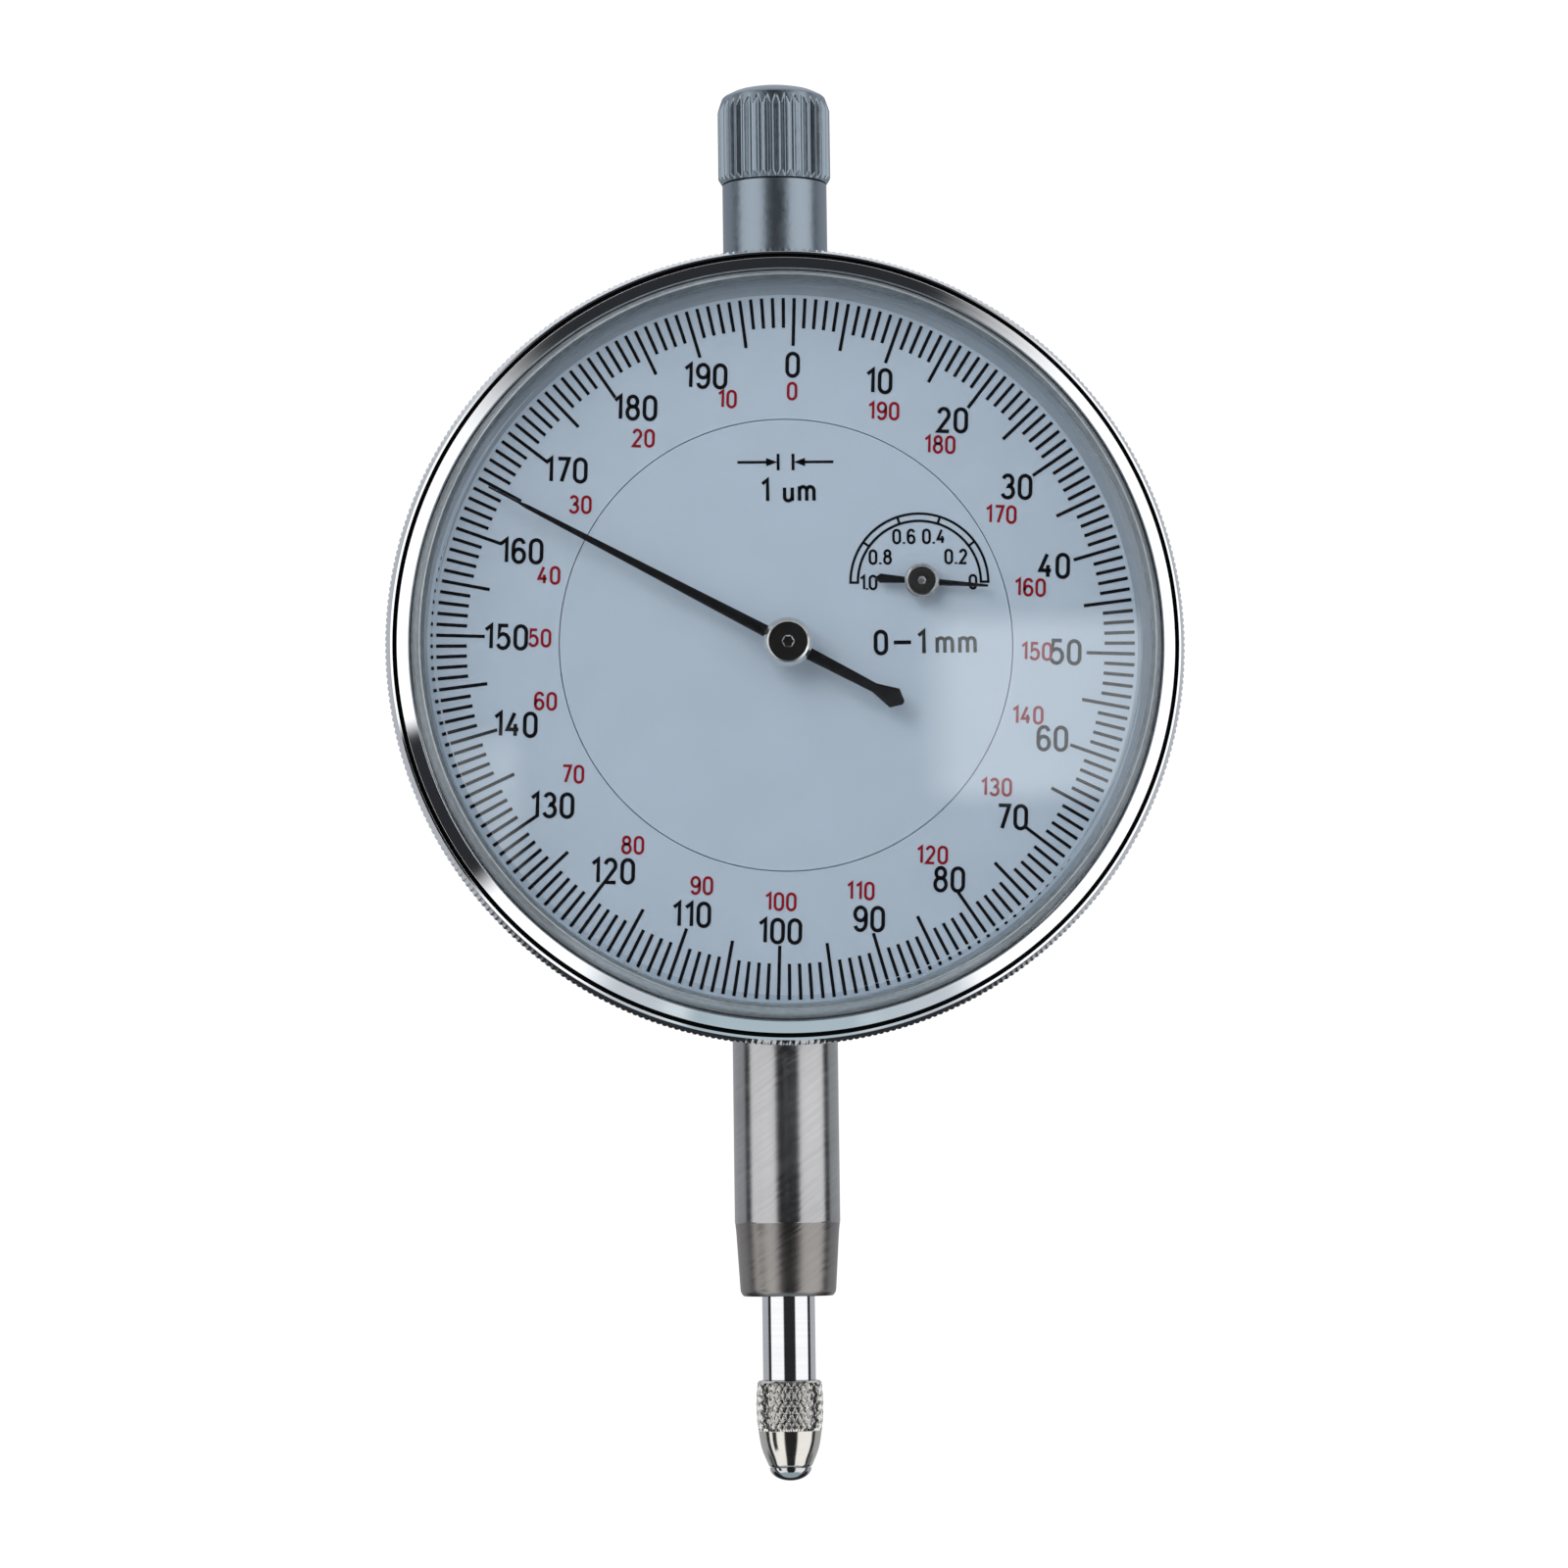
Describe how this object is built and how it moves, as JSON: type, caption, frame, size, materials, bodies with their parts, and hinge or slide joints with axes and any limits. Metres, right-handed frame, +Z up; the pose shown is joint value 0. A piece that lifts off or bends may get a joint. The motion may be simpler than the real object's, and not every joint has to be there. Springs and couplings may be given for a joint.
{
  "type": "dial indicator",
  "caption": "Plunger dial indicator with a knurled rotating bezel, raised crystal, two hands, plain clamping stem, spindle with ball contact and a lug back.",
  "frame": {"origin": "on the spindle's axis at the middle of the stem's clamping length", "axes": "+Z up along the spindle, away from the contact point; the dial faces -Y; +X is to the right as the dial is read"},
  "size_m": [0.06, 0.0355, 0.1065],
  "materials": {
    "bezel_chrome": "bright plated, straight-knurled rim",
    "case_metal": "satin plated",
    "stem_steel": "fine ground",
    "spindle_steel": "hardened and polished",
    "cap_steel": "satin plated, fluted",
    "screw_steel": "polished",
    "tip_metal": "polished hard metal",
    "brass": "machined",
    "bronze": "machined bearing bronze",
    "jewel": "polished ruby",
    "dial": "pale blue-grey satin paint with printed graduations",
    "hand": "gloss black",
    "hub_chrome": "polished",
    "spring_steel": "spring wire",
    "crystal": "clear"
  },
  "bodies": {
    "case": {"case_shell": "case_metal", "back_cover": "case_metal", "mounting_lug": "case_metal", "cover_screw_1": "screw_steel", "cover_screw_2": "screw_steel", "cover_screw_3": "screw_steel", "cover_screw_4": "screw_steel", "lug_screw_1": "screw_steel", "lug_screw_2": "screw_steel", "stem": "stem_steel", "stem_bushing": "bronze", "upper_sleeve": "cap_steel", "upper_bushing": "bronze", "front_plate": "brass", "rear_plate": "brass", "pillar_1": "brass", "pillar_2": "brass", "pillar_3": "brass", "plate_screw_1": "screw_steel", "plate_screw_2": "screw_steel", "plate_screw_3": "screw_steel", "centre_jewel_front": "jewel", "centre_jewel_rear": "jewel", "counter_jewel_front": "jewel", "counter_jewel_rear": "jewel", "takeup_jewel_front": "jewel", "takeup_jewel_rear": "jewel", "sector_jewel_front": "jewel", "sector_jewel_rear": "jewel", "dial_disc": "dial", "guide_bar": "spindle_steel", "spring_post": "spindle_steel", "measuring_spring": "spring_steel", "hairspring": "spring_steel", "hairspring_stud": "brass"},
    "spindle": {"spindle_rod": "spindle_steel", "contact_point": "spindle_steel", "contact_tip": "tip_metal", "lift_cap": "cap_steel", "spindle_carrier": "brass", "push_pin": "spindle_steel", "guide_pin": "spindle_steel", "spring_hook": "brass"},
    "sector": {"sector_gear": "brass", "sector_arbor": "spindle_steel", "lever_arm": "spindle_steel"},
    "counter": {"counter_arbor": "spindle_steel", "counter_gear": "brass", "counter_hand": "hand", "counter_hub": "hub_chrome"},
    "centre": {"centre_arbor": "spindle_steel", "main_hand": "hand", "main_hub": "hub_chrome"},
    "takeup": {"takeup_arbor": "spindle_steel", "takeup_gear": "brass", "hairspring_collet": "brass"},
    "bezel": {"bezel_ring": "bezel_chrome", "crystal": "crystal", "dial_ring": "dial", "bezel_snap_ring": "spring_steel"}
  },
  "joints": [
    {"name": "spindle_slide", "type": "slide", "parent": "case", "child": "spindle", "axis": [0, 0, 1], "range_m": [0, 0.0011], "stiffness_N_per_m": 100, "springref_m": -0.012, "deforming": ["measuring_spring"]},
    {"name": "sector_turn", "type": "hinge", "parent": "case", "child": "sector", "pos_m": [0.00731, -0.005, 0.01975], "axis": [0, 1, 0], "range_deg": [-1, 18]},
    {"name": "counter_turn", "type": "hinge", "parent": "case", "child": "counter", "pos_m": [0.01013, -0.005, 0.04062], "axis": [0, 1, 0], "range_deg": [-210, 5]},
    {"name": "centre_turn", "type": "hinge", "parent": "case", "child": "centre", "pos_m": [0, -0.005, 0.036], "axis": [0, 1, 0], "range_deg": [-20, 2000]},
    {"name": "takeup_turn", "type": "hinge", "parent": "case", "child": "takeup", "pos_m": [-0.01013, -0.005, 0.04062], "axis": [0, 1, 0], "range_deg": [-210, 5]},
    {"name": "bezel_turn", "type": "hinge", "parent": "case", "child": "bezel", "pos_m": [0, -0.005, 0.036], "axis": [0, 1, 0], "continuous": true}
  ],
  "couplings": [
    {"joint": "sector_turn", "follows": "spindle_slide", "rad_per_m": 261.8},
    {"joint": "counter_turn", "follows": "spindle_slide", "rad_per_m": -3141.6},
    {"joint": "centre_turn", "follows": "spindle_slide", "rad_per_m": 31416},
    {"joint": "takeup_turn", "follows": "spindle_slide", "rad_per_m": -3141.6}
  ]
}
